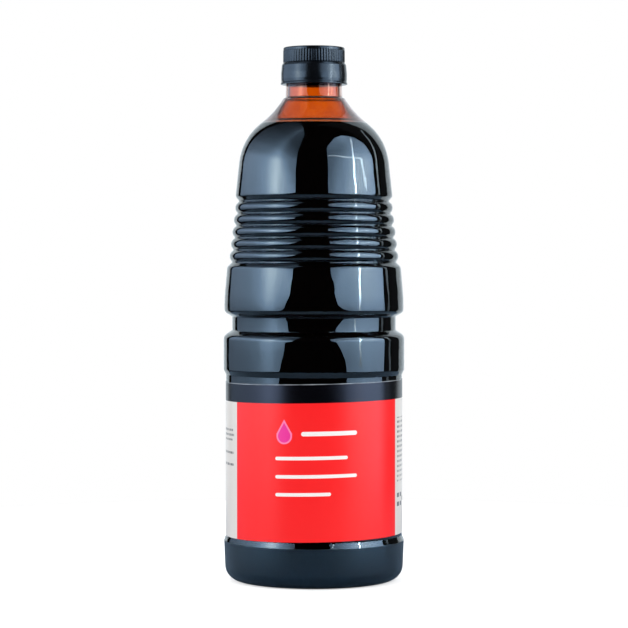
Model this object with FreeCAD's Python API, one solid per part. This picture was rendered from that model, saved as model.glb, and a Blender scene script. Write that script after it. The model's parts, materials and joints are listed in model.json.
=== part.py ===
"""A tall clear bottle of dark teriyaki sauce with a ribbed shoulder, two grip bands, a wrap-round label
and a black screw cap. Millimetres, +Z up, the origin at the centre of the foot, the label's front to -Y.

Every round piece is an outline turned about the Z axis. An outline is a list of corners, each a
(radius, height, rounding), and the rounding is the radius of the arc that takes the corner's tip off.
"""

import FreeCAD
import Part
import math
import os

# Radii of the bottle, most of them as how far the surface stands in from the upper grip band
BODY_R = 50.4
LOWER_BAND_PROUD = 0.45  # the lower grip band is the widest part
FOOT_PROUD = 0.3
FOOT_DRAFT = 0.9  # how much narrower the foot is at the floor
PANEL_DEPTH = 0.85
WAIST_DEPTH = 4.4
UPPER_BAND_TOP_DEPTH = 1.55
TOP_RIB_DEPTH = 6.25
SHOULDER_TAPER = 3.55  # from the shoulder's lower edge up to the dome
FLARE_R = 23.1
LEDGE_WIDTH = 1.35  # the small ledge at the foot of the neck
NECK_R = 15.7
NECK_DRAFT = 0.25  # how much wider the neck is at its foot

# Heights of the bottle's stretches, from the floor up
FOOT_HEIGHT = 22.6
FOOT_STEP = 3.0
PANEL_HEIGHT = 90.3
PANEL_STEP = 2.7
LOWER_BAND_HEIGHT = 19.1
LOWER_WAIST_SLOPE = 3.1
WAIST_HEIGHT = 7.7
UPPER_WAIST_SLOPE = 2.5
UPPER_BAND_STRAIGHT = 7.5
UPPER_BAND_HEIGHT = 25.3
BAND_TO_RIBS = 2.8
RIB_PITCH = 6.82
RIBS_TO_SHOULDER = 2.7
SHOULDER_HEIGHT = 32.5
DOME_HEIGHT = 13.9
FLARE_HEIGHT = 8.5
LEDGE_RISE = 0.6
NECK_HEIGHT = 7.3  # what shows of the neck below the cap

# Ribs
RIB_COUNT = 5
RIB_DEPTH = 1.45
RIB_GROWTH = 0.8  # how much wider each rib is than the one above it

# Roundings, from the floor up
RING_EDGE_ROUND = 1.6
FOOT_CORNER = 8.5
FOOT_TOP_ROUND = 2.0
PANEL_FOOT_ROUND = 1.0
PANEL_TOP_ROUND = 0.6
BAND_FOOT_ROUND = 3.0
LOWER_BAND_TOP_ROUND = 4.0
WAIST_ROUND = 0.5
UPPER_BAND_BEND_ROUND = 80.0
UPPER_BAND_TOP_ROUND = 2.6
GROOVE_ROUND = 0.7
SHOULDER_EDGE_ROUND = 2.2
DOME_ROUND = 32.0
FLARE_ROUND = 50.0
LEDGE_ROUND = 0.9
NECK_FOOT_ROUND = 0.5
BORE_FOOT_ROUND = 0.8

# Underside
RING_INNER_R = 39.0  # where the foot ring ends and the push-up starts
PUSH_UP_EDGE_R = 33.0
PUSH_UP_EDGE_Z = 5.25
PUSH_UP_EDGE_ROUND = 8.0
PUSH_UP_CROWN_R = 9.9
PUSH_UP_CROWN_ROUND = 30.0
PUSH_UP_HEIGHT = 7.5

# Walls and sauce
WALL = 0.7
NECK_WALL = 1.6
FILL_CLEARANCE = 0.05  # between the wall and the sauce
HEADSPACE = 14.1  # from the sauce's surface up to the foot of the neck

# Cap: a fixed collar seated on a step of the neck, and a screw lid over it
CAP_CLEARANCE = 0.1
SEAT_RISE = 1.5  # the step's height above the collar's lower edge
SEAT_WIDTH = 0.8
COLLAR_WALL = 2.8
COLLAR_HEIGHT = 11.9
COLLAR_BEVEL_DEPTH = 1.0
COLLAR_BEVEL_HEIGHT = 1.2
COLLAR_BEVEL_ROUND = 0.8
COLLAR_TAPER = 0.4
COLLAR_TAPER_HEIGHT = 5.7
COLLAR_TAPER_ROUND = 12.0
COLLAR_NIP = 0.15  # the slight narrowing above the flared lower edge
COLLAR_NIP_HEIGHT = 3.0
COLLAR_NIP_Z = 1.5
COLLAR_FLARE = 0.25
COLLAR_FLARE_HEIGHT = 0.6
CAP_EDGE_ROUND = 0.3
SEAM = 0.25  # the gap between the collar and the lid
LID_WALL = 2.35
LID_HEIGHT = 8.65
LID_TOP_THICKNESS = 2.2
LID_DRAFT = 0.1
LID_CORNER = 0.7
LID_RIM = 1.8  # the plain rim above the grip flutes
FLUTE_COUNT = 66
FLUTE_DEPTH = 0.35
FLUTE_WIDTH = 0.8

# Label, one sheet wrapped round the panel and lapped at the back
LABEL_CLEARANCE = 0.05
LABEL_THICKNESS = 0.15
LABEL_FOOT_MARGIN = 0.8
LABEL_HEAD_MARGIN = 3.2
LABEL_SKEW = 1.0  # degrees: the sheet's edges rise a little towards +X
LABEL_LAP = 9.0  # degrees of overlap at the back

# What follows from these: radii
LOWER_BAND_R = BODY_R + LOWER_BAND_PROUD
FOOT_R = BODY_R + FOOT_PROUD
PANEL_R = BODY_R - PANEL_DEPTH
WAIST_R = BODY_R - WAIST_DEPTH
UPPER_BAND_TOP_R = BODY_R - UPPER_BAND_TOP_DEPTH
TOP_RIB_R = BODY_R - TOP_RIB_DEPTH
DOME_R = TOP_RIB_R - SHOULDER_TAPER
NECK_FOOT_R = NECK_R + NECK_DRAFT
LEDGE_R = NECK_FOOT_R + LEDGE_WIDTH
BORE_R = NECK_R - NECK_WALL
FINISH_R = NECK_R - SEAT_WIDTH  # the top of the neck, inside the cap
CAP_BORE_R = FINISH_R + CAP_CLEARANCE
COLLAR_R = NECK_R + COLLAR_WALL
LID_R = CAP_BORE_R + LID_WALL

# and heights above the floor
PANEL_BOTTOM = FOOT_HEIGHT + FOOT_STEP
PANEL_TOP = PANEL_BOTTOM + PANEL_HEIGHT
LOWER_BAND_BOTTOM = PANEL_TOP + PANEL_STEP
LOWER_BAND_TOP = LOWER_BAND_BOTTOM + LOWER_BAND_HEIGHT
WAIST_BOTTOM = LOWER_BAND_TOP + LOWER_WAIST_SLOPE
WAIST_TOP = WAIST_BOTTOM + WAIST_HEIGHT
UPPER_BAND_BOTTOM = WAIST_TOP + UPPER_WAIST_SLOPE
UPPER_BAND_TOP = UPPER_BAND_BOTTOM + UPPER_BAND_HEIGHT
LOWEST_GROOVE_Z = UPPER_BAND_TOP + BAND_TO_RIBS
TOP_GROOVE_Z = LOWEST_GROOVE_Z + RIB_COUNT * RIB_PITCH
SHOULDER_EDGE_Z = TOP_GROOVE_Z + RIBS_TO_SHOULDER
DOME_Z = SHOULDER_EDGE_Z + SHOULDER_HEIGHT
FLARE_Z = DOME_Z + DOME_HEIGHT
LEDGE_Z = FLARE_Z + FLARE_HEIGHT
NECK_FOOT_Z = LEDGE_Z + LEDGE_RISE
SAUCE_LEVEL = NECK_FOOT_Z - HEADSPACE
COLLAR_BOTTOM = NECK_FOOT_Z + NECK_HEIGHT
SEAT_Z = COLLAR_BOTTOM + SEAT_RISE
COLLAR_TOP = COLLAR_BOTTOM + COLLAR_HEIGHT
LID_BOTTOM = COLLAR_TOP + SEAM
HEIGHT = LID_BOTTOM + LID_HEIGHT
LIP_Z = HEIGHT - LID_TOP_THICKNESS
LABEL_BOTTOM = PANEL_BOTTOM + LABEL_FOOT_MARGIN
LABEL_TOP = PANEL_TOP - LABEL_HEAD_MARGIN

TINY = 1e-6
ORIGIN = FreeCAD.Vector(0, 0, 0)
UP = FreeCAD.Vector(0, 0, 1)


def point(r, z):
    """The point of the XZ plane at a radius and a height."""
    return FreeCAD.Vector(r, 0, z)


def turns_at(points):
    """The turn of the outline at each of its points, in radians: positive to the left."""
    turns = [0.0]
    for before, here, after in zip(points, points[1:], points[2:]):
        a, b = here - before, after - here
        turns.append(math.atan2(a.x * b.z - a.z * b.x, a.x * b.x + a.z * b.z))
    return turns + [0.0]


def fitted_roundings(points, roundings):
    """The roundings, each cut down where the sides next to its corner are too short for it."""
    tangents = [
        rounding * abs(math.tan(turn / 2))
        for rounding, turn in zip(roundings, turns_at(points))
    ]
    share = [1.0] * len(points)
    for i, (here, after) in enumerate(zip(points, points[1:])):
        used = tangents[i] + tangents[i + 1]
        room = here.distanceToPoint(after)
        if used > room:
            for end in (i, i + 1):
                share[end] = min(share[end], room / used)
    return [rounding * part for rounding, part in zip(roundings, share)]


def outline_edges(corners):
    """The lines and tangent arcs that follow these corners."""
    points = [point(r, z) for r, z, _ in corners]
    roundings = fitted_roundings(points, [rounding for _, _, rounding in corners])
    edges, start = [], points[0]
    for i, turn in enumerate(turns_at(points)):
        arrive = leave = points[i]
        if roundings[i] > TINY and abs(turn) > TINY:
            back = (points[i - 1] - points[i]).normalize()
            ahead = (points[i + 1] - points[i]).normalize()
            tangent = roundings[i] * abs(math.tan(turn / 2))
            arrive, leave = points[i] + back * tangent, points[i] + ahead * tangent
        if start.distanceToPoint(arrive) > TINY:
            edges.append(Part.LineSegment(start, arrive).toShape())
        if arrive.distanceToPoint(leave) > TINY:
            to_tip = roundings[i] * (1 / math.cos(turn / 2) - 1)
            middle = points[i] + (back + ahead).normalize() * to_tip
            edges.append(Part.Arc(arrive, middle, leave).toShape())
        start = leave
    return edges


def inset(corners, gap):
    """The same outline moved inwards by gap, for one that runs down the outside and in along the base."""
    points = [point(r, z) for r, z, _ in corners]
    headings = [(b - a).normalize() for a, b in zip(points, points[1:])]
    inward = [FreeCAD.Vector(h.z, 0, -h.x) for h in headings]
    moved = [points[0] + inward[0] * gap]
    for here, a, b in zip(points[1:], inward, inward[1:]):
        moved.append(here + (a + b) * (gap / (1 + a.dot(b))))
    moved.append(points[-1] + inward[-1] * gap)
    roundings = [
        rounding + math.copysign(gap, turn) if rounding else 0.0
        for (_, _, rounding), turn in zip(corners, turns_at(points))
    ]
    return [(at.x, at.z, max(rounding, 0.0)) for at, rounding in zip(moved, roundings)]


def closing_edge(corners):
    """The straight edge from an outline's last corner back to its first."""
    first, last = corners[0], corners[-1]
    return Part.LineSegment(point(last[0], last[1]), point(first[0], first[1])).toShape()


def turned_solid(edges):
    """The solid that a closed outline makes when it is turned about the Z axis."""
    return Part.Face(Part.Wire(Part.sortEdges(edges)[0])).revolve(ORIGIN, UP, 360)


def turned_piece(corners):
    """The solid that the closed outline through these corners makes."""
    return turned_solid(outline_edges(corners) + [closing_edge(corners)])


def shoulder_corners():
    """From the ledge under the neck, over the dome, to the shoulder's lower edge."""
    return [
        (LEDGE_R, LEDGE_Z, LEDGE_ROUND),
        (FLARE_R, FLARE_Z, FLARE_ROUND),
        (DOME_R, DOME_Z, DOME_ROUND),
        (TOP_RIB_R, SHOULDER_EDGE_Z, SHOULDER_EDGE_ROUND),
    ]


def rib_corners():
    """The grooves and ribs below the shoulder, from the top groove to the lowest one."""
    half = RIB_PITCH / 2
    flank = 2 * math.atan2(RIB_DEPTH, half)
    rib_round = 0.95 * half / math.sin(flank) - GROOVE_ROUND
    tip = 1 / math.cos(flank) - 1  # how far a corner stands past a rounding of 1
    corners = []
    for i in range(RIB_COUNT + 1):
        z = TOP_GROOVE_Z - i * RIB_PITCH
        groove_r = TOP_RIB_R + RIB_GROWTH * (i - 0.5) - RIB_DEPTH
        corners.append((groove_r - GROOVE_ROUND * tip, z, GROOVE_ROUND))
        if i < RIB_COUNT:
            rib_r = TOP_RIB_R + RIB_GROWTH * i
            corners.append((rib_r + rib_round * tip, z - half, rib_round))
    return corners


def grip_corners():
    """The two grip bands with the waist between them. The upper band narrows towards its top."""
    return [
        (UPPER_BAND_TOP_R, UPPER_BAND_TOP, UPPER_BAND_TOP_ROUND),
        (BODY_R, UPPER_BAND_BOTTOM + UPPER_BAND_STRAIGHT, UPPER_BAND_BEND_ROUND),
        (BODY_R, UPPER_BAND_BOTTOM, BAND_FOOT_ROUND),
        (WAIST_R, WAIST_TOP, WAIST_ROUND),
        (WAIST_R, WAIST_BOTTOM, WAIST_ROUND),
        (LOWER_BAND_R, LOWER_BAND_TOP, LOWER_BAND_TOP_ROUND),
        (LOWER_BAND_R, LOWER_BAND_BOTTOM, BAND_FOOT_ROUND),
    ]


def base_corners():
    """The label panel, the foot and the pushed-up underside, down and in to the axis."""
    return [
        (PANEL_R, PANEL_TOP, PANEL_TOP_ROUND),
        (PANEL_R, PANEL_BOTTOM, PANEL_FOOT_ROUND),
        (FOOT_R, FOOT_HEIGHT, FOOT_TOP_ROUND),
        (FOOT_R - FOOT_DRAFT, 0, FOOT_CORNER),
        (RING_INNER_R, 0, RING_EDGE_ROUND),
        (PUSH_UP_EDGE_R, PUSH_UP_EDGE_Z, PUSH_UP_EDGE_ROUND),
        (PUSH_UP_CROWN_R, PUSH_UP_HEIGHT, PUSH_UP_CROWN_ROUND),
        (0, PUSH_UP_HEIGHT, 0),
    ]


def body_corners():
    """The outside of the bottle below its neck."""
    return shoulder_corners() + rib_corners() + grip_corners() + base_corners()


def make_bottle():
    """The blown bottle: a thin even wall below a thicker neck, open at the lip."""
    neck = [
        (FINISH_R, LIP_Z, 0),
        (FINISH_R, SEAT_Z, 0),
        (NECK_R, SEAT_Z, 0),
        (NECK_FOOT_R, NECK_FOOT_Z, NECK_FOOT_ROUND),
    ]
    bore = [(BORE_R, LIP_Z, 0), (BORE_R, LEDGE_Z - WALL / 2, BORE_FOOT_ROUND)]
    outside = neck + body_corners()
    inside = bore + inset(body_corners(), WALL)
    lip = closing_edge([bore[0], neck[0]])
    centre = closing_edge([inside[-1], outside[-1]])
    return turned_solid(outline_edges(outside) + outline_edges(inside) + [lip, centre])


def make_sauce():
    """The sauce, which fills the bottle's inside up to its level."""
    inside = inset(body_corners(), WALL + FILL_CLEARANCE)
    whole = turned_piece([(0, inside[0][1], 0)] + inside)
    return whole.common(Part.makeCylinder(BODY_R, SAUCE_LEVEL))


def make_collar():
    """The smooth collar of the cap, seated on the neck's step, with a flared lower edge."""
    share = SEAT_RISE / (SEAT_Z - NECK_FOOT_Z)
    skirt_r = NECK_R + NECK_DRAFT * share + CAP_CLEARANCE
    flare_r = COLLAR_R + COLLAR_FLARE
    return turned_piece(
        [
            (CAP_BORE_R, COLLAR_TOP, 0),
            (COLLAR_R - COLLAR_BEVEL_DEPTH, COLLAR_TOP, CAP_EDGE_ROUND),
            (COLLAR_R - COLLAR_TAPER, COLLAR_TOP - COLLAR_BEVEL_HEIGHT, COLLAR_BEVEL_ROUND),
            (COLLAR_R, COLLAR_TOP - COLLAR_TAPER_HEIGHT, COLLAR_TAPER_ROUND),
            (COLLAR_R, COLLAR_BOTTOM + COLLAR_NIP_HEIGHT, COLLAR_NIP_HEIGHT),
            (COLLAR_R - COLLAR_NIP, COLLAR_BOTTOM + COLLAR_NIP_Z, COLLAR_FLARE_HEIGHT),
            (flare_r, COLLAR_BOTTOM + COLLAR_FLARE_HEIGHT, CAP_EDGE_ROUND),
            (flare_r, COLLAR_BOTTOM, CAP_EDGE_ROUND),
            (skirt_r, COLLAR_BOTTOM, 0),
            (skirt_r, SEAT_Z, 0),
            (CAP_BORE_R, SEAT_Z, 0),
        ]
    )


def lid_cup():
    """The lid before its flutes are cut: a shallow cup, its top resting on the lip."""
    return turned_piece(
        [
            (0, HEIGHT, 0),
            (LID_R - LID_DRAFT, HEIGHT, LID_CORNER),
            (LID_R, LID_BOTTOM, CAP_EDGE_ROUND),
            (CAP_BORE_R, LID_BOTTOM, 0),
            (CAP_BORE_R, LIP_Z, 0),
            (0, LIP_Z, 0),
        ]
    )


def make_lid():
    """The screw lid, fluted for grip below a plain rim."""
    flute = Part.makeBox(
        2 * FLUTE_DEPTH,
        FLUTE_WIDTH,
        LID_HEIGHT - LID_RIM + SEAM / 2,
        FreeCAD.Vector(LID_R - FLUTE_DEPTH, -FLUTE_WIDTH / 2, LID_BOTTOM - SEAM / 2),
    )
    flutes = []
    for i in range(FLUTE_COUNT):
        flutes.append(flute.copy())
        flutes[-1].rotate(ORIGIN, UP, i * 360 / FLUTE_COUNT)
    return lid_cup().cut(flutes)


def tube(inner_r, outer_r, bottom, top, sweep=360):
    """A plain tube about the Z axis, or the part of it that starts at +X and turns through sweep."""
    foot = FreeCAD.Vector(0, 0, bottom)
    outer = Part.makeCylinder(outer_r, top - bottom, foot, UP, sweep)
    return outer.cut(Part.makeCylinder(inner_r, top - bottom, foot))


def make_label():
    """The label: a thin sheet wrapped round the panel a little askew, its two ends lapped at the back."""
    inner = PANEL_R + LABEL_CLEARANCE
    outer = inner + LABEL_THICKNESS
    rise = outer * math.tan(math.radians(LABEL_SKEW))
    bottom, top = LABEL_BOTTOM - rise, LABEL_TOP + rise
    lap = tube(outer, outer + LABEL_THICKNESS, bottom, top, LABEL_LAP)
    lap.rotate(ORIGIN, UP, 90 - LABEL_LAP / 2)
    side = 3 * outer
    corner = FreeCAD.Vector(-side / 2, -side / 2, 0)
    between_edges = Part.makeBox(side, side, LABEL_TOP - LABEL_BOTTOM, corner)
    between_edges.rotate(ORIGIN, FreeCAD.Vector(0, 1, 0), -LABEL_SKEW)
    between_edges.translate(FreeCAD.Vector(0, 0, LABEL_BOTTOM))
    sheet = tube(inner, outer, bottom, top).fuse(lap)
    return sheet.common(between_edges).removeSplitter()


def main():
    os.makedirs("parts", exist_ok=True)
    pieces = {
        "bottle": make_bottle(),
        "sauce": make_sauce(),
        "cap_collar": make_collar(),
        "cap_lid": make_lid(),
        "label": make_label(),
    }
    for name, shape in pieces.items():
        print(name, len(shape.Solids), "solid", round(shape.Volume / 1000, 2), "cm3")
        shape.exportStep(f"parts/{name}.step")


main()
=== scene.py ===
"""A bottle of teriyaki sauce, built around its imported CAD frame. Metres, +Z up, the label's front to -Y."""
import json
import math

import bpy
import numpy as np
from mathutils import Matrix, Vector

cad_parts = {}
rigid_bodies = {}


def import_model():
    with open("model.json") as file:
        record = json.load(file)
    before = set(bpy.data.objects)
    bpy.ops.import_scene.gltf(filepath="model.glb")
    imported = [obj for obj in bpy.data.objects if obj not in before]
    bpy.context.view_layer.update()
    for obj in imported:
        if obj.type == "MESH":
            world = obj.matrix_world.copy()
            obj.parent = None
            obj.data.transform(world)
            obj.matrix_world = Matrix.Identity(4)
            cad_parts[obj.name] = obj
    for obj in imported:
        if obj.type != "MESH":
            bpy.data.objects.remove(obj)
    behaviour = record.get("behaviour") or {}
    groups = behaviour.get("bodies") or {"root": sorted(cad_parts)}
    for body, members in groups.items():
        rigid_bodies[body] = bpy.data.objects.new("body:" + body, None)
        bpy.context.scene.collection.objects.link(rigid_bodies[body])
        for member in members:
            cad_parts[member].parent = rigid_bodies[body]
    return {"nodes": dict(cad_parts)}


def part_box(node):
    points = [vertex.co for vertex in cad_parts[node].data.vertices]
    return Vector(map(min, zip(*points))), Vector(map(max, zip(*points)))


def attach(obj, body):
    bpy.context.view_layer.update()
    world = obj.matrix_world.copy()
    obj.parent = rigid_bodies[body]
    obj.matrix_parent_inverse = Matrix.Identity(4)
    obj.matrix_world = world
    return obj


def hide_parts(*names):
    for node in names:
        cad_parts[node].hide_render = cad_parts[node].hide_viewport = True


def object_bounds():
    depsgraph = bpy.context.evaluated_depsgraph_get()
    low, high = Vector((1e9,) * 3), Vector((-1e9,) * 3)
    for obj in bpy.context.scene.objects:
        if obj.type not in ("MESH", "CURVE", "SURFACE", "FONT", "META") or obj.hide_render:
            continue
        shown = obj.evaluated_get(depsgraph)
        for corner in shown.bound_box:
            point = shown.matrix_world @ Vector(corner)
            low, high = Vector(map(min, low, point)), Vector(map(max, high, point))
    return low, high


for leftover in list(bpy.data.objects):
    bpy.data.objects.remove(leftover)
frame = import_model()
CAD_LOW, CAD_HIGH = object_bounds()
HEIGHT = CAD_HIGH.z - CAD_LOW.z
MM = 0.001
TINY = 1e-6

# Places of the frame's pieces that the looks are measured from
LABEL_LOW, LABEL_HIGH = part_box("label")
SAUCE_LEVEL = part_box("sauce")[1].z
COLLAR_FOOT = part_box("cap_collar")[0].z
LID_LOW, LID_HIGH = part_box("cap_lid")

SEGMENTS = 256
SHARP_ANGLE = math.radians(38)

# The bottle and its sauce
PLASTIC_IOR = 1.575
FOOT_TOP = 22.8 * MM
PANEL_MIDDLE = 100 * MM
NECK_FOOT = 271.4 * MM
NECK_BORE = 14.7 * MM  # the drawn neck is a little thinner than its CAD piece, as its dark edges show
BORE_START = NECK_FOOT - 1.5 * MM
FILL_LEVEL = SAUCE_LEVEL - 1.0 * MM  # where the drawn sauce ends, so that it shows at the right height
FILM_START = SAUCE_LEVEL - 2.0 * MM
FILM_REACH = 0.1 * MM
SAUCE_REACH = 0.35 * MM  # how far the sauce stands out past its CAD piece, into the wall
PAINTED_SHADE_LOW = COLLAR_FOOT - 1.5 * MM  # the lower edge of the painted shade round the neck, a dark line just below the collar
PAINTED_SHADE_EDGE = 0.4 * MM

# The lid
LID_WALL = 2.35 * MM
LID_ROOF = 2.2 * MM
LID_RIM = 1.8 * MM
LID_CORNER = 0.7 * MM
LID_DRAFT = 0.1 * MM
FLUTE_COUNT = 66
FLUTE_DEPTH = 0.28 * MM
FLUTE_STEPS = 10

# The label's sheet and print: heights up the sheet, azimuths round from the middle of its front
LABEL_RADIUS = (LABEL_HIGH.x - LABEL_LOW.x) / 2
LABEL_SKEW = math.radians(1.0)
LABEL_THICKNESS = 0.15 * MM
LABEL_LAP = math.radians(9.0)
LABEL_TOP = LABEL_HIGH.z - LABEL_RADIUS * math.tan(LABEL_SKEW)
LABEL_COLUMNS = 400
HEADER_BOTTOM = 102.3 * MM
RED_LEFT = math.radians(-59.0)
RED_RIGHT = math.radians(65.0)
PRINT_EDGE = 0.18 * MM
PRINT_TURN_EDGE = 0.004
PRINT_MARGIN = 0.06
SMALL_PRINT_PITCH = 2.75 * MM

# The studio
FLOOR_RADIUS = 1.5 * HEIGHT
FLOOR_SIDES = 96
FLOOR_DROP = 0.05 * MM
SIDE = 2 * HEIGHT  # how far the softboxes stand to the left and right
STRIP_SIDE = SIDE - 0.01
SOFTBOX_RADIANCE = 1.32
GLOSS_GAIN = 2.0  # how much more of a softbox gloss sees, on top of its plain light
MATT_LEVEL = 1.14  # the even level at which a softbox lights what is matt
ROOM_MATT_LEVEL = 0.66
ROOM_DARK = 0.004
ROOM_DIM = 0.035
CAMERA_AWAY = 4.608 * HEIGHT
CAMERA_UP = 0.608 * HEIGHT
CAMERA_LENS = 140.4


# Meshes


def seam_paths(node):
    """The outline of a turned CAD piece, read along its seam in the plane y = 0: the path down the outside
    from its highest, widest point, and the path from there the other way, as (radius, height) points."""
    mesh = frame["nodes"][node].data
    at = {}
    for v in mesh.vertices:
        if abs(v.co.y) < TINY and v.co.x > -TINY:
            at[v.index] = (round(v.co.x, 6), round(v.co.z, 6))
    links = {}
    for edge in mesh.edges:
        a, b = (at.get(i) for i in edge.vertices)
        if a and b and a != b:
            links.setdefault(a, set()).add(b)
            links.setdefault(b, set()).add(a)
    ends = sorted((p for p in links if len(links[p]) == 1), key=lambda p: (p[1], p[0]))
    while ends:
        # A flat ring has no seam, so its two circles are joined here, and a flat disc is joined to the axis
        a = ends.pop(0)
        b = ends.pop(0) if ends and abs(ends[0][1] - a[1]) < TINY else (0.0, a[1])
        links.setdefault(a, set()).add(b)
        links.setdefault(b, set()).add(a)
    start = max(links, key=lambda p: (p[1], p[0]))
    paths = []
    for onward in sorted(links[start], key=lambda p: p[1]):
        path = [start, onward]
        while True:
            ahead = [p for p in links[path[-1]] if p != path[-2]]
            if not ahead or ahead[0] == start:
                break
            path.append(ahead[0])
        paths.append(path)
    return paths


def thinned(path, tolerance=0.003 * MM):
    """The path without the points that it can spare."""
    p = np.array(path)
    if len(p) < 3:
        return path
    run = p[-1] - p[0]
    length = math.hypot(*run)
    if length < TINY:
        away = np.hypot(*(p - p[0]).T)
    else:
        away = abs(run[0] * (p[:, 1] - p[0, 1]) - run[1] * (p[:, 0] - p[0, 0])) / length
    i = int(away.argmax())
    if away[i] < tolerance:
        return [path[0], path[-1]]
    return thinned(path[: i + 1], tolerance)[:-1] + thinned(path[i:], tolerance)


def left_of(run):
    """The directions at right angles to these, on their left."""
    run = run / np.hypot(*run.T)[:, None]
    return np.stack([-run[:, 1], run[:, 0]], axis=1)


def offset(path, gap):
    """The path moved to its left by gap."""
    p = np.array(path)
    left = left_of(np.diff(p, axis=0))
    before = np.vstack([left[:1], left])
    after = np.vstack([left, left[-1:]])
    mid = (before + after) / (1 + (before * after).sum(1))[:, None]
    return [tuple(q) for q in p + mid * gap]


def new_object(name, verts, faces, materials, slots=None):
    mesh = bpy.data.meshes.new(name)
    mesh.from_pydata(verts, [], faces)
    for material in materials:
        mesh.materials.append(material)
    if slots is not None:
        mesh.polygons.foreach_set("material_index", slots)
    mesh.shade_smooth()
    mesh.set_sharp_from_angle(angle=SHARP_ANGLE)
    mesh.update()
    made = bpy.data.objects.new(name, mesh)
    bpy.context.scene.collection.objects.link(made)
    return made


def lathe(name, outline, materials, slot_of=None, ridge=None, turns=SEGMENTS):
    """The surface that an outline makes when it is turned about the Z axis. slot_of(r, z) picks the material
    of each band, and ridge(r, z, angle) moves a point in or out."""
    verts, faces, slots, rings = [], [], [], []
    angles = [2 * math.pi * k / turns for k in range(turns)]
    for r, z in outline:
        if r < TINY:
            rings.append([len(verts)] * turns)
            verts.append((0.0, 0.0, z))
            continue
        rings.append(range(len(verts), len(verts) + turns))
        for angle in angles:
            here = r + (ridge(r, z, angle) if ridge else 0.0)
            verts.append((here * math.cos(angle), here * math.sin(angle), z))
    for i, (low, high) in enumerate(zip(rings, rings[1:])):
        middle = [(a + b) / 2 for a, b in zip(outline[i], outline[i + 1])]
        slot = slot_of(*middle) if slot_of else 0
        for k in range(turns):
            n = (k + 1) % turns
            corners = [low[k], high[k], high[n], low[n]]
            faces.append([c for j, c in enumerate(corners) if c != corners[j - 1]])
            slots.append(slot)
    return new_object(name, verts, faces, materials, slots)


# Materials


class Nodes:
    """Short calls for the nodes used here, made in one node tree."""

    def __init__(self, tree):
        self.tree = tree

    def node(self, kind, **settings):
        made = self.tree.nodes.new(kind)
        for key, value in settings.items():
            setattr(made, key, value)
        return made

    def link(self, source, target):
        if isinstance(source, bpy.types.NodeSocket):
            self.tree.links.new(source, target)
        else:
            target.default_value = source

    def link_all(self, sources, targets):
        for source, target in zip(sources, targets):
            self.link(source, target)

    def math(self, operation, *values, clamp=False):
        made = self.node("ShaderNodeMath", operation=operation, use_clamp=clamp)
        self.link_all(values, made.inputs)
        return made.outputs[0]

    def ramp(self, value, low, high, start=0.0, end=1.0, smooth=False):
        made = self.node("ShaderNodeMapRange", clamp=True)
        made.interpolation_type = "SMOOTHSTEP" if smooth else "LINEAR"
        self.link_all((value, low, high, start, end), made.inputs)
        return made.outputs[0]

    def between(self, value, low, high, soft):
        """1 where value lies between low and high, with edges as wide as soft."""
        rise = self.ramp(value, low - soft / 2, low + soft / 2)
        fall = self.ramp(value, high - soft / 2, high + soft / 2)
        return self.math("SUBTRACT", rise, fall, clamp=True)

    def curve(self, value, points):
        """A level read off the (value, level) points, with straight lines between them."""
        level = points[0][1]
        for (low, start), (high, end) in zip(points, points[1:]):
            step = self.ramp(value, low, high, 0.0, end - start)
            level = self.math("ADD", step, level)
        return level

    def mix(self, factor, a, b):
        """A colour between the colours a and b."""
        made = self.node("ShaderNodeMix", data_type="RGBA")
        self.link_all((factor, a, b), (made.inputs[0], made.inputs[6], made.inputs[7]))
        return made.outputs[2]

    def mix_value(self, factor, a, b):
        """A number between the numbers a and b."""
        made = self.node("ShaderNodeMix", data_type="FLOAT")
        self.link_all((factor, a, b), (made.inputs[0], made.inputs[2], made.inputs[3]))
        return made.outputs[0]


class Shader(Nodes):
    """A material with one Principled shader, or none if it is an emitter."""

    def __init__(self, name, emitter=False, **constants):
        self.material = bpy.data.materials.new(name)
        self.material.use_nodes = True
        super().__init__(self.material.node_tree)
        self.bsdf = self.tree.nodes["Principled BSDF"]
        if emitter:
            self.tree.nodes.remove(self.bsdf)
        for socket, value in constants.items():
            self.bsdf.inputs[socket.replace("_", " ")].default_value = value
        self.place = self.node("ShaderNodeTexCoord").outputs["Object"]
        split = self.node("ShaderNodeSeparateXYZ")
        self.link(self.place, split.inputs[0])
        self.x, self.y, self.z = split.outputs

    def noise(self, scale, stretch=(1, 1, 1), detail=3.0, rough=0.5):
        vector = self.place
        if stretch != (1, 1, 1):
            mapping = self.node("ShaderNodeMapping")
            self.link(self.place, mapping.inputs["Vector"])
            mapping.inputs["Scale"].default_value = stretch
            vector = mapping.outputs[0]
        made = self.node("ShaderNodeTexNoise")
        self.link(vector, made.inputs["Vector"])
        made.inputs["Scale"].default_value = scale
        made.inputs["Detail"].default_value = detail
        made.inputs["Roughness"].default_value = rough
        return made.outputs["Fac"]

    def bump(self, height, depth, previous=None):
        made = self.node("ShaderNodeBump")
        made.inputs["Distance"].default_value = depth
        made.inputs["Strength"].default_value = 1.0
        self.link(height, made.inputs["Height"])
        if previous is not None:
            self.link(previous, made.inputs["Normal"])
        return made.outputs[0]

    def set(self, socket, source):
        self.link(source, self.bsdf.inputs[socket])


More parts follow.
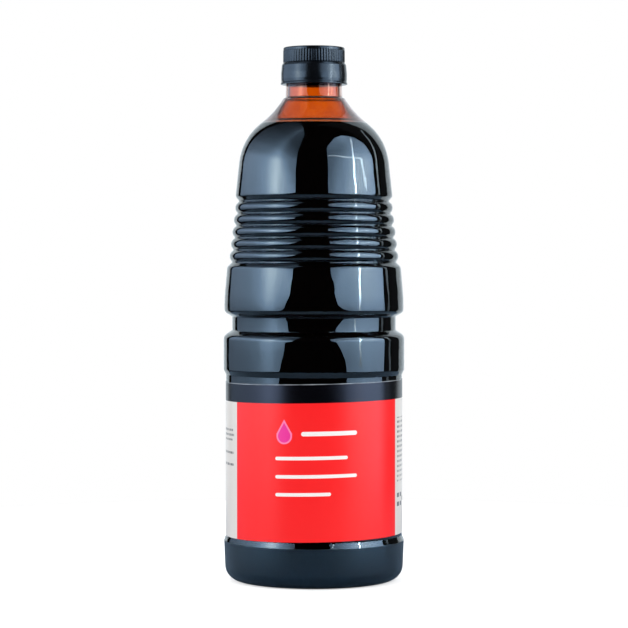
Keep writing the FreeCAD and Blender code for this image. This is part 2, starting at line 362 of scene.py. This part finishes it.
def plastic_wall(name, shine, low_tint, high_tint, collar_shade=False):
    """Clear blown plastic: glossy and faintly uneven. The tints are the ends of its blotchy colour. With
    collar_shade it has painted shade, dark in colour and gloss, where the collar covers it and in a line
    round it just below, and a painted reddish reflection along the collar's lower edge."""
    s = Shader(name, IOR=PLASTIC_IOR, Transmission_Weight=1.0, Specular_Tint=shine)
    tint = s.mix(s.noise(18.0, detail=2.0), low_tint, high_tint)
    if collar_shade:
        # Painted shade: colour and gloss go dark where the collar covers the neck and in a line just below it
        shade = s.ramp(s.z, PAINTED_SHADE_LOW, PAINTED_SHADE_LOW + PAINTED_SHADE_EDGE)
        tint = s.mix(shade, tint, (0.05, 0.015, 0.012, 1))
        shine = s.mix(shade, shine, (0.03, 0.015, 0.012, 1))
        # Painted reflection: the gloss is tinted reddish along the collar's lower edge, for its underside lit
        # by the amber neck
        rim = s.between(s.z, COLLAR_FOOT - 0.65 * MM, COLLAR_FOOT + 0.1 * MM, 0.2 * MM)
        s.set("Specular Tint", s.mix(rim, shine, (0.45, 0.26, 0.25, 1)))
    s.set("Base Color", tint)
    s.set("Roughness", s.ramp(s.noise(420.0, detail=4.0), 0.35, 0.75, 0.008, 0.03))
    waves = s.bump(s.noise(26.0, (1, 1, 0.6), detail=1.0), 0.25 * MM)
    s.set("Normal", s.bump(s.noise(75.0, (1, 1, 0.5), detail=2.0), 0.2 * MM, waves))
    return s.material


def frosted_wall():
    """The foot's plastic, satin from the mould, so that it shines softly."""
    s = Shader("frosted_plastic", IOR=1.70, Transmission_Weight=1.0, Specular_Tint=(0.52, 0.80, 1.0, 1))
    s.set("Base Color", s.mix(s.noise(18.0), (0.90, 0.93, 0.95, 1), (0.95, 0.97, 0.98, 1)))
    s.set("Roughness", s.ramp(s.noise(40.0, detail=1.0), 0.3, 0.7, 0.33, 0.37))
    s.set("Normal", s.bump(s.noise(60.0), 0.2 * MM))
    return s.material


def sauce_film():
    """The amber film that the sauce leaves on the inside of the wall above its level."""
    s = Shader("sauce_film", IOR=PLASTIC_IOR, Transmission_Weight=1.0, Specular_Tint=(0.12, 0.05, 0.02, 1))
    wobble = s.math("MULTIPLY_ADD", s.noise(60.0, detail=2.0), 0.5 * MM, -0.25 * MM)
    up = s.math("SUBTRACT", s.math("ADD", s.z, wobble), FILL_LEVEL)
    streaks = s.noise(160.0, (1, 1, 0.16), detail=4.0, rough=0.6)
    streaked = s.ramp(streaks, 0.3, 0.7)
    amber = s.mix(streaked, (0.52, 0.070, 0.0002, 1), (0.73, 0.145, 0.0006, 1))
    deep = s.mix(streaked, (0.46, 0.060, 0.0005, 1), (0.72, 0.14, 0.001, 1))
    base = s.mix(s.ramp(up, 2.4 * MM, 7.0 * MM, smooth=True), deep, amber)
    # Light crosses more of the film where it meets it at a slant
    slant = s.node("ShaderNodeFresnel")
    slant.inputs["IOR"].default_value = PLASTIC_IOR
    slanted = slant.outputs[0]
    base = s.mix(s.ramp(slanted, 0.06, 0.16), base, s.mix(0.5, base, (0.15, 0.006, 0.0005, 1)))
    base = s.mix(s.ramp(slanted, 0.12, 0.18), base, (0.004, 0.001, 0.0006, 1))
    # The sauce's edge: a dark line, with a pale one below it and a fainter one above
    base = s.mix(s.between(up, 0.85 * MM, 2.15 * MM, 0.2 * MM), base, (0.0012, 0.0003, 0.0002, 1))
    pale_above = s.math("MULTIPLY", s.between(up, 2.3 * MM, 3.2 * MM, 0.4 * MM), 0.25)
    pale = s.math("ADD", s.between(up, -0.5 * MM, 0.85 * MM, 0.2 * MM), pale_above)
    base = s.mix(s.math("MULTIPLY", pale, 0.75), base, (0.24, 0.10, 0.09, 1))
    # Painted shade: the film goes near black where the collar covers it and in a line just below, for the
    # shadow under the cap
    base = s.mix(s.ramp(s.z, PAINTED_SHADE_LOW, PAINTED_SHADE_LOW + PAINTED_SHADE_EDGE), base, (0.01, 0.003, 0.002, 1))
    s.set("Base Color", base)
    s.set("Roughness", s.ramp(streaks, 0.3, 0.7, 0.05, 0.16))
    s.set("Normal", s.bump(streaks, 0.12 * MM))
    return s.material


def sauce_body():
    """The sauce itself, a brown so dark that it looks black."""
    s = Shader("sauce", IOR=1.36, Specular_IOR_Level=0.0)
    blotches = s.noise(24.0, detail=2.0)
    s.set("Base Color", s.mix(blotches, (0.0012, 0.0008, 0.0008, 1), (0.002, 0.0011, 0.0009, 1)))
    s.set("Roughness", s.ramp(s.noise(60.0), 0.3, 0.7, 0.3, 0.4))
    return s.material


def cap_plastic():
    """Black moulded plastic with a fine grain."""
    s = Shader("cap_plastic", IOR=1.5, Specular_IOR_Level=0.34, Specular_Tint=(0.86, 0.95, 1.0, 1))
    s.set("Base Color", s.mix(s.noise(300.0), (0.0015, 0.002, 0.003, 1), (0.003, 0.0038, 0.0055, 1)))
    s.set("Roughness", s.ramp(s.noise(900.0, detail=4.0), 0.3, 0.7, 0.15, 0.25))
    s.set("Normal", s.bump(s.noise(2400.0, detail=2.0), 0.012 * MM))
    return s.material


class LabelShader(Shader):
    """The label's shader, with masks for simple printed shapes. They are placed by azimuth, or by the way
    along the sheet from the middle of its front, and by the height up the slightly skewed sheet."""

    def __init__(self, name, **constants):
        super().__init__(name, **constants)
        self.azimuth = self.math("ARCTAN2", self.x, self.math("MULTIPLY", self.y, -1.0))
        self.along = self.math("MULTIPLY", self.azimuth, LABEL_RADIUS)
        self.up = self.math("SUBTRACT", self.z, self.math("MULTIPLY", self.x, math.tan(LABEL_SKEW)))

    def union(self, masks):
        whole = masks[0]
        for mask in masks[1:]:
            whole = self.math("MAXIMUM", whole, mask)
        return whole

    def length(self, dx, dz):
        squared = self.math("ADD", self.math("MULTIPLY", dx, dx), self.math("MULTIPLY", dz, dz))
        return self.math("SQRT", squared)

    def pill(self, left, right, middle, thickness):
        """A bar with round ends."""
        half = thickness / 2
        nearest = self.math("MINIMUM", self.math("MAXIMUM", self.along, left + half), right - half)
        dx = self.math("SUBTRACT", self.along, nearest)
        dz = self.math("SUBTRACT", self.up, middle)
        return self.ramp(self.length(dx, dz), half + PRINT_EDGE / 2, half - PRINT_EDGE / 2)

    def drop(self, x, z, size):
        """The distance out from the edge of a drop: a round belly with a tip above it."""
        dx = self.math("ABSOLUTE", self.math("SUBTRACT", self.along, x))
        dz = self.math("SUBTRACT", self.up, z)
        belly = self.math("SUBTRACT", self.length(dx, dz), size)
        # The tip's sides are the two tangents from a point two radii up
        lean = math.radians(30)
        slope = self.math("MULTIPLY", dx, math.cos(lean))
        side = self.math("SUBTRACT", self.math("ADD", slope, self.math("MULTIPLY", dz, math.sin(lean))), size)
        tip = self.math("MAXIMUM", side, self.math("SUBTRACT", size * math.sin(lean), dz))
        return self.math("MINIMUM", belly, tip)

    def small_print(self, left, right, bottom, top, every, seed, ragged):
        """Rows of small print between two azimuths, at every so many pitches, with ragged right ends."""
        row = self.math("DIVIDE", self.up, SMALL_PRINT_PITCH * every)
        thin = self.between(self.math("FRACT", row), 0.24 / every, 0.70 / every, 0.1 / every)
        wave = self.math("SINE", self.math("MULTIPLY_ADD", self.math("FLOOR", row), 12.9, seed))
        chance = self.math("FRACT", self.math("MULTIPLY", wave, 43.7))
        end = self.math("MULTIPLY_ADD", chance, ragged, right - ragged)
        before_end = self.ramp(self.azimuth, end, self.math("SUBTRACT", end, PRINT_TURN_EDGE))
        across = self.math("MULTIPLY", self.between(self.azimuth, left, right, PRINT_TURN_EDGE), before_end)
        tall = self.between(self.up, bottom, top, PRINT_EDGE)
        return self.math("MULTIPLY", thin, self.math("MULTIPLY", across, tall))

    def block(self, left, bottom, turn=0.07, tall=2.4 * MM):
        across = self.between(self.azimuth, left, left + turn, PRINT_TURN_EDGE)
        return self.math("MULTIPLY", across, self.between(self.up, bottom, bottom + tall, PRINT_EDGE))


def label_print():
    """The label's satin film and its print: a black header, a red front and cream sides and back."""
    s = LabelShader("label_film", IOR=1.5, Specular_IOR_Level=0.40)
    fibre = s.noise(700.0)
    red = s.mix(s.noise(14.0, detail=1.0), (0.97, 0.005, 0.010, 1), (1.0, 0.009, 0.014, 1))
    cream = s.mix(fibre, (0.69, 0.665, 0.64, 1), (0.74, 0.715, 0.69, 1))
    black = s.mix(fibre, (0.0004, 0.0004, 0.001, 1), (0.001, 0.001, 0.002, 1))
    front = s.between(s.azimuth, RED_LEFT, RED_RIGHT, PRINT_EDGE / LABEL_RADIUS)
    colour = s.mix(front, cream, red)

    # The front's print: a magenta drop with a pink outline, and white bars for its lines
    drop = s.drop(-16.6 * MM, 84.6 * MM, 3.6 * MM)
    outline = 0.9 * MM
    pink, magenta, white = (1.0, 0.22, 0.45, 1), (0.86, 0.03, 0.33, 1), (0.92, 0.90, 0.89, 1)
    colour = s.mix(s.ramp(drop, outline + PRINT_EDGE / 2, outline - PRINT_EDGE / 2), colour, pink)
    colour = s.mix(s.ramp(drop, PRINT_EDGE / 2, -PRINT_EDGE / 2), colour, magenta)
    bars = [
        s.pill(-7.0 * MM, 24.5 * MM, 85.6 * MM, 2.4 * MM),
        s.pill(-21.8 * MM, 18.9 * MM, 72.3 * MM, 1.9 * MM),
        s.pill(-21.8 * MM, 24.4 * MM, 62.3 * MM, 1.9 * MM),
        s.pill(-21.8 * MM, 9.3 * MM, 52.5 * MM, 1.9 * MM),
    ]
    colour = s.mix(s.union(bars), colour, white)

    # Grey marks on the cream like small print: a full block on the right, a few rows on the left
    marks = s.ramp(s.noise(1100.0, (1, 1, 0.02), detail=1.0), 0.45, 0.5)
    first, last = RED_RIGHT + PRINT_MARGIN, RED_LEFT - PRINT_MARGIN
    rows = [
        s.small_print(first, first + 0.95, 56.0 * MM, 92.0 * MM, every=1, seed=0.0, ragged=0.28),
        s.small_print(last - 1.0, last, 80.6 * MM, 88.6 * MM, every=1, seed=2.0, ragged=0.05),
        s.small_print(last - 1.0, last, 62.0 * MM, 76.0 * MM, every=2.4, seed=5.0, ragged=0.05),
    ]
    print_rows = s.math("MULTIPLY", s.math("MULTIPLY", s.union(rows), marks), 0.95)
    colour = s.mix(print_rows, colour, (0.13, 0.13, 0.14, 1))
    places = [(0.0, 47.2), (0.0, 42.2), (0.11, 47.2), (0.11, 42.2), (0.22, 44.7)]
    blocks = s.union([s.block(first + turn, bottom * MM) for turn, bottom in places])
    colour = s.mix(s.math("MULTIPLY", blocks, 0.95), colour, (0.05, 0.05, 0.06, 1))

    header = s.ramp(s.up, HEADER_BOTTOM - PRINT_EDGE / 2, HEADER_BOTTOM + PRINT_EDGE / 2)
    colour = s.mix(header, colour, black)
    sheen = s.mix(front, (0.86, 0.95, 1.0, 1), (1.0, 1.0, 0.84, 1))
    s.set("Specular Tint", s.mix(header, sheen, (0.90, 0.87, 1.0, 1)))
    # The pale cut edge along the top shows in places
    cut = s.ramp(s.up, LABEL_TOP - 0.45 * MM, LABEL_TOP - 0.3 * MM)
    cut = s.math("MULTIPLY", cut, s.ramp(s.noise(120.0), 0.35, 0.6, 0.3, 1.0))
    s.set("Base Color", s.mix(cut, colour, (0.36, 0.40, 0.44, 1)))
    rough = s.ramp(s.noise(25.0, detail=1.0), 0.3, 0.7, 0.28, 0.33)
    s.set("Roughness", s.math("SUBTRACT", rough, s.math("MULTIPLY", header, 0.07)))
    waves = s.bump(s.noise(30.0), 0.12 * MM)
    s.set("Normal", s.bump(s.noise(1500.0, detail=2.0), 0.001 * MM, waves))
    return s.material


def floor_paint():
    """A plain pale floor: it clips to white for the camera except in the bottle's shadow, and is darker and
    bluer in gloss."""
    s = Shader("floor_paint", Roughness=0.9, Specular_IOR_Level=0.2, Emission_Color=(1, 1, 1, 1))
    path = s.node("ShaderNodeLightPath")
    pale = s.mix(s.noise(9.0), (0.80, 0.80, 0.80, 1), (0.82, 0.82, 0.82, 1))
    s.set("Base Color", s.mix(path.outputs["Is Glossy Ray"], pale, (0.22, 0.33, 0.47, 1)))
    s.set("Emission Strength", s.math("MULTIPLY", path.outputs["Is Camera Ray"], 0.55))
    return s.material


# The bottle and what is in it

CLEAR, FILM, FROSTED, SHOULDER, NECK = range(5)
wall_materials = [
    plastic_wall("clear_plastic", (0.86, 0.97, 1.0, 1), (0.92, 0.955, 0.98, 1), (0.965, 0.98, 0.99, 1)),
    sauce_film(),
    frosted_wall(),
    plastic_wall("shoulder_plastic", (0.12, 0.09, 0.05, 1), (0.90, 0.68, 0.72, 1), (0.95, 0.76, 0.79, 1)),
    plastic_wall(
        "neck_plastic", (0.84, 0.47, 0.36, 1), (0.88, 0.66, 0.62, 1), (0.96, 0.77, 0.72, 1), collar_shade=True
    ),
]
cap = cap_plastic()

outside, inside = seam_paths("bottle")
inside = [(max(r, NECK_BORE) if z > BORE_START else r, z) for r, z in inside]


def inner_radius(z):
    """The radius of the inner wall above the middle of the label's panel."""
    heights, radii = zip(*[(p[1], p[0]) for p in inside[::-1] if p[1] > PANEL_MIDDLE])
    return float(np.interp(z, heights, radii))


def pick_wall(r, z):
    """The foot is frosted, the inner wall above the sauce has the amber film, and the rest is clear plastic,
    in the tint of its part of the bottle."""
    if z < FOOT_TOP:
        return FROSTED
    if z >= FILM_START and r < inner_radius(z) + FILM_REACH:
        return FILM
    if z < SAUCE_LEVEL:
        return CLEAR
    return SHOULDER if z < NECK_FOOT else NECK


shell = lathe("bottle_wall", thinned(inside)[::-1] + thinned(outside)[1:], wall_materials, pick_wall)
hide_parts("bottle")
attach(shell, "root")


def sauce_outline():
    """The outline of the drawn sauce: its top, turned up a little at the wall, and its side down."""
    side = [(max(r, 0.0), z) for r, z in offset(thinned(seam_paths("sauce")[0]), SAUCE_REACH)]
    side[-1] = (0.0, side[-1][1])
    brim = float(np.interp(FILL_LEVEL, [z for _, z in side[::-1]], [r for r, _ in side[::-1]]))
    top = [(0.0, FILL_LEVEL), (brim - 2.0 * MM, FILL_LEVEL), (brim - 0.5 * MM, FILL_LEVEL + 0.03 * MM)]
    return top + [(brim, FILL_LEVEL)] + [p for p in side if p[1] < FILL_LEVEL - 0.05 * MM]


sauce = lathe("sauce_fill", sauce_outline(), [sauce_body()])
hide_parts("sauce")
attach(sauce, "root")

collar = frame["nodes"]["cap_collar"]
for i in range(len(collar.data.materials)):
    collar.material_slots[i].material = cap


def fluted_lid():
    """The lid with rounded ridges between its flutes, which the flat cuts of its CAD piece stand for."""
    outer, top, foot = LID_HIGH.x, LID_HIGH.z, LID_LOW.z
    bore, lip, rim = outer - LID_WALL, top - LID_ROOF, top - LID_RIM
    outline = [(0.0, lip), (bore, lip), (bore, foot)]
    outline += [(outer - 0.35 * MM, foot), (outer - 0.3 * MM, foot + 0.1 * MM), (outer, foot + 0.45 * MM)]
    outline += [(outer - 0.05 * MM, rim - 0.25 * MM), (outer - 0.06 * MM, rim)]
    for k in range(9):
        turn = math.pi / 2 * k / 8
        radius = outer - LID_DRAFT - LID_CORNER * (1 - math.cos(turn))
        outline.append((radius, top - LID_CORNER * (1 - math.sin(turn))))
    outline.append((0.0, top))

    def ridge(r, z, angle):
        if r < outer - FLUTE_DEPTH - 0.01 * MM or z > rim - 0.1 * MM:
            return 0.0
        return -FLUTE_DEPTH * (0.5 - 0.5 * math.cos(FLUTE_COUNT * angle))

    return lathe("lid", outline[::-1], [cap], ridge=ridge, turns=FLUTE_COUNT * FLUTE_STEPS)


lid = fluted_lid()
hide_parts("cap_lid")
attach(lid, "root")


def wrapped_label():
    """The label's sheet, one strip round the panel whose last part laps over its first at the back."""
    radius = LABEL_RADIUS - LABEL_THICKNESS
    rise = LABEL_RADIUS * math.tan(LABEL_SKEW)
    bottom, top = LABEL_LOW.z + rise, LABEL_HIGH.z - rise
    start = math.pi / 2 - LABEL_LAP / 2
    sweep = 2 * math.pi + LABEL_LAP
    shares = [0.0, 0.004, 0.5, 0.996, 1.0]
    verts, faces = [], []
    for i in range(LABEL_COLUMNS + 1):
        turn = sweep * i / LABEL_COLUMNS
        angle = start + turn
        lifted = min(max((turn - (2 * math.pi - LABEL_LAP)) / LABEL_LAP, 0.0), 1.0)
        lift = LABEL_THICKNESS * lifted * lifted * (3 - 2 * lifted)
        for r in (radius + lift, radius + lift + LABEL_THICKNESS):
            for share in shares:
                x, y = r * math.cos(angle), r * math.sin(angle)
                verts.append((x, y, bottom + (top - bottom) * share + x * math.tan(LABEL_SKEW)))
    n = len(shares)

    def at(i, side, row):
        return (i * 2 + side) * n + row

    for i in range(LABEL_COLUMNS):
        for row in range(n - 1):
            faces.append([at(i, 1, row), at(i + 1, 1, row), at(i + 1, 1, row + 1), at(i, 1, row + 1)])
            faces.append([at(i, 0, row), at(i, 0, row + 1), at(i + 1, 0, row + 1), at(i + 1, 0, row)])
        for row in (0, n - 1):
            edge = [at(i, 0, row), at(i + 1, 0, row), at(i + 1, 1, row), at(i, 1, row)]
            faces.append(edge if row == 0 else edge[::-1])
    for i in (0, LABEL_COLUMNS):
        for row in range(n - 1):
            end = [at(i, 0, row), at(i, 1, row), at(i, 1, row + 1), at(i, 0, row + 1)]
            faces.append(end if i == 0 else end[::-1])
    return new_object("label_sheet", verts, faces, [label_print()])


label = wrapped_label()
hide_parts("label")
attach(label, "root")

# Floor, light and camera

around = [2 * math.pi * k / FLOOR_SIDES for k in range(FLOOR_SIDES)]
floor_z = CAD_LOW.z - FLOOR_DROP
floor_edge = [(FLOOR_RADIUS * math.cos(a), FLOOR_RADIUS * math.sin(a), floor_z) for a in around]
floor = new_object("floor", floor_edge, [list(range(FLOOR_SIDES))], [floor_paint()])


def softbox_glow(name, radiance, along, up, cool=(0.394, 0.72, 1.19, 1), hot=(0.72, 0.92, 1.12, 1)):
    """An uneven soft light: along and up give its level by the distance along +Y and by height. Gloss sees it
    brighter and bluer than it lights what is matt, and less blue where it is hottest."""
    s = Shader(name, emitter=True)
    glossy = s.node("ShaderNodeLightPath").outputs["Is Glossy Ray"]
    level = s.math("MULTIPLY", s.curve(s.y, along), s.curve(s.z, up))
    plain = s.node("ShaderNodeEmission")
    s.link(s.math("MULTIPLY", s.mix_value(glossy, MATT_LEVEL, level), radiance), plain.inputs["Strength"])
    extra = s.node("ShaderNodeEmission")
    s.link(s.mix(s.ramp(level, 1.3, 2.6), cool, hot), extra.inputs["Color"])
    gloss_level = s.math("MULTIPLY", level, glossy)
    s.link(s.math("MULTIPLY", gloss_level, radiance * GLOSS_GAIN), extra.inputs["Strength"])
    both = s.node("ShaderNodeAddShader")
    s.link_all((plain.outputs[0], extra.outputs[0]), both.inputs)
    s.link(both.outputs[0], s.tree.nodes["Material Output"].inputs["Surface"])
    return s.material


def softbox(name, side, outline, glow):
    """A flat light beside the bottle, with this outline of (y, z) points. The camera and what looks through
    glass don't see it, and it casts no shadow."""
    made = new_object(name, [(side, y, z) for y, z in outline], [list(range(len(outline)))], [glow])
    made.visible_camera = False
    made.visible_transmission = False
    made.visible_shadow = False


softbox(
    "left_softbox",
    -SIDE,
    [
        (0.62, 0.0), (-0.6, 0.0), (-0.7, 0.072), (-0.78, 0.106), (-0.82, 0.163), (-0.95, 0.26),
        (-1.03, 0.341), (-1.07, 0.37), (-1.16, 0.413), (-1.17, 0.556), (-1.24, 1.49), (-1.24, 3.2),
        (0.62, 3.2),
    ],
    softbox_glow(
        "left_glow",
        SOFTBOX_RADIANCE,
        [
            (-1.1, 1.05), (-0.9, 1.1), (-0.69, 1.22), (-0.53, 1.5), (-0.45, 1.85), (-0.36, 2.05),
            (-0.27, 1.6), (-0.16, 1.1), (-0.06, 0.88), (0.06, 0.67), (0.2, 0.51), (0.41, 0.315), (0.75, 0.15),
        ],
        [
            (0.06, 0.5), (0.11, 0.55), (0.2, 0.92), (0.25, 1.0), (0.34, 1.35), (0.40, 1.3), (0.46, 0.95),
            (0.5, 0.75), (0.6, 0.6), (0.66, 0.43), (0.75, 0.33), (0.9, 0.25), (1.2, 0.15),
        ],
    ),
)
softbox(
    "right_softbox",
    SIDE,
    [
        (0.075, 0.0), (-0.65, 0.0), (-0.70, 0.08), (-0.84, 0.11), (-1.04, 0.16), (-1.12, 0.24), (-1.25, 0.38),
        (-1.45, 0.46), (-1.58, 0.50), (-1.55, 0.64), (-1.50, 0.9), (-1.33, 1.41), (-0.51, 1.37),
        (-0.18, 1.16), (0.01, 0.86), (0.09, 0.6), (0.115, 0.36), (0.10, 0.28),
    ],
    softbox_glow(
        "right_glow",
        SOFTBOX_RADIANCE,
        [
            (-1.2, 0.9), (-0.83, 1.15), (-0.63, 1.2), (-0.47, 1.42), (-0.34, 1.7), (-0.23, 1.85),
            (-0.12, 1.65), (-0.01, 1.5), (0.1, 1.1),
        ],
        [
            (0.06, 0.55), (0.11, 0.62), (0.2, 0.95), (0.25, 1.0), (0.35, 1.2), (0.42, 1.0), (0.5, 0.8),
            (0.6, 0.65), (0.7, 0.55), (0.85, 0.5), (1.1, 0.6),
        ],
    ),
)


def strip(name, line, width, radiance, up):
    """A narrow light just in front of the right softbox's plane, along this line of (y, z) points."""
    p = np.array(line)
    left = left_of(np.gradient(p, axis=0)) * width / 2
    outline = [tuple(q) for q in p + left] + [tuple(q) for q in (p - left)[::-1]]
    glow = softbox_glow(name, radiance, [(-2.0, 1.0), (2.0, 1.0)], up, cool=(0.72, 0.92, 1.1, 1))
    softbox(name, STRIP_SIDE, outline, glow)


strip(
    "right_tube",
    [(-0.362, 0.06), (-0.362, 0.16), (-0.348, 0.26), (-0.316, 0.35), (-0.261, 0.532), (-0.091, 0.885)],
    width=0.034,
    radiance=6.0,
    up=[(0.08, 0.15), (0.13, 0.4), (0.2, 0.9), (0.26, 1.7), (0.37, 2.2), (0.48, 1.3), (0.6, 0.9), (0.9, 0.6)],
)
strip(
    "right_edge",
    [
        (0.19, 0.02), (0.191, 0.18), (0.2, 0.31), (0.235, 0.40), (0.265, 0.485), (0.30, 0.606), (0.41, 0.829),
        (0.504, 0.909),
    ],
    width=0.045,
    radiance=0.8,
    up=[(0.15, 0.3), (0.25, 0.5), (0.33, 1.0), (0.5, 1.0), (0.8, 0.5)],
)
strip(
    "right_hook",
    [(-0.17, 0.405), (-0.128, 0.36), (-0.12, 0.334), (-0.075, 0.314)],
    width=0.03,
    radiance=5.5,
    up=[(0.3, 0.8), (0.4, 1.0)],
)
strip(
    "right_cross",
    [(-1.361, 0.833), (-0.86, 0.647), (-0.581, 0.528), (-0.388, 0.451), (-0.229, 0.415), (-0.17, 0.405)],
    width=0.022,
    radiance=4.5,
    up=[(0.4, 1.0), (0.8, 0.6)],
)


def studio_world():
    """White for the camera and through glass. Gloss sees a white wall behind the bottle and a dark room."""
    world = bpy.data.worlds.new("studio")
    bpy.context.scene.world = world
    world.use_nodes = True
    n = Nodes(world.node_tree)
    path = n.node("ShaderNodeLightPath")
    split = n.node("ShaderNodeSeparateXYZ")
    n.link(n.node("ShaderNodeTexCoord").outputs["Generated"], split.inputs[0])
    azimuth = n.math("ARCTAN2", split.outputs[0], split.outputs[1])

    # The wall behind the bottle, and a dimmer stretch to its right
    left, right, dim_end, soft = (math.radians(a) for a in (-33, 43, 78, 3))
    from_left = n.math("DIVIDE", n.math("SUBTRACT", azimuth, left), soft, clamp=True)
    to_right = n.math("DIVIDE", n.math("SUBTRACT", right, azimuth), soft, clamp=True)
    low = n.math("DIVIDE", n.math("SUBTRACT", 0.85, split.outputs[2]), 0.1, clamp=True)
    wall = n.math("MULTIPLY", n.math("MULTIPLY", from_left, to_right), low)
    dim = n.math("MULTIPLY", n.math("GREATER_THAN", azimuth, right), n.math("LESS_THAN", azimuth, dim_end))
    room = n.math("MULTIPLY_ADD", dim, ROOM_DIM, n.math("ADD", wall, ROOM_DARK))

    seen = n.math("MAXIMUM", path.outputs["Is Camera Ray"], path.outputs["Is Transmission Ray"])
    unseen = n.math("SUBTRACT", 1.0, seen)
    glossy = n.math("MULTIPLY", path.outputs["Is Glossy Ray"], unseen)
    matt = n.math("MULTIPLY", n.math("SUBTRACT", unseen, glossy), ROOM_MATT_LEVEL)
    level = n.math("ADD", seen, n.math("ADD", n.math("MULTIPLY", glossy, room), matt))
    background = n.tree.nodes["Background"]
    n.link(level, background.inputs["Strength"])
    n.link(n.mix(glossy, (1, 1, 1, 1), (0.82, 0.93, 1.0, 1)), background.inputs["Color"])


studio_world()

camera = bpy.data.objects.new("camera", bpy.data.cameras.new("camera"))
camera.location = (0, -CAMERA_AWAY, CAMERA_UP)
target = Vector((0, 0, 0.5 * HEIGHT))
camera.rotation_euler = (target - camera.location).to_track_quat("-Z", "Y").to_euler()
camera.data.sensor_width = 36
camera.data.lens = CAMERA_LENS
bpy.context.scene.collection.objects.link(camera)
bpy.context.scene.camera = camera
bpy.context.scene.view_settings.view_transform = "Standard"
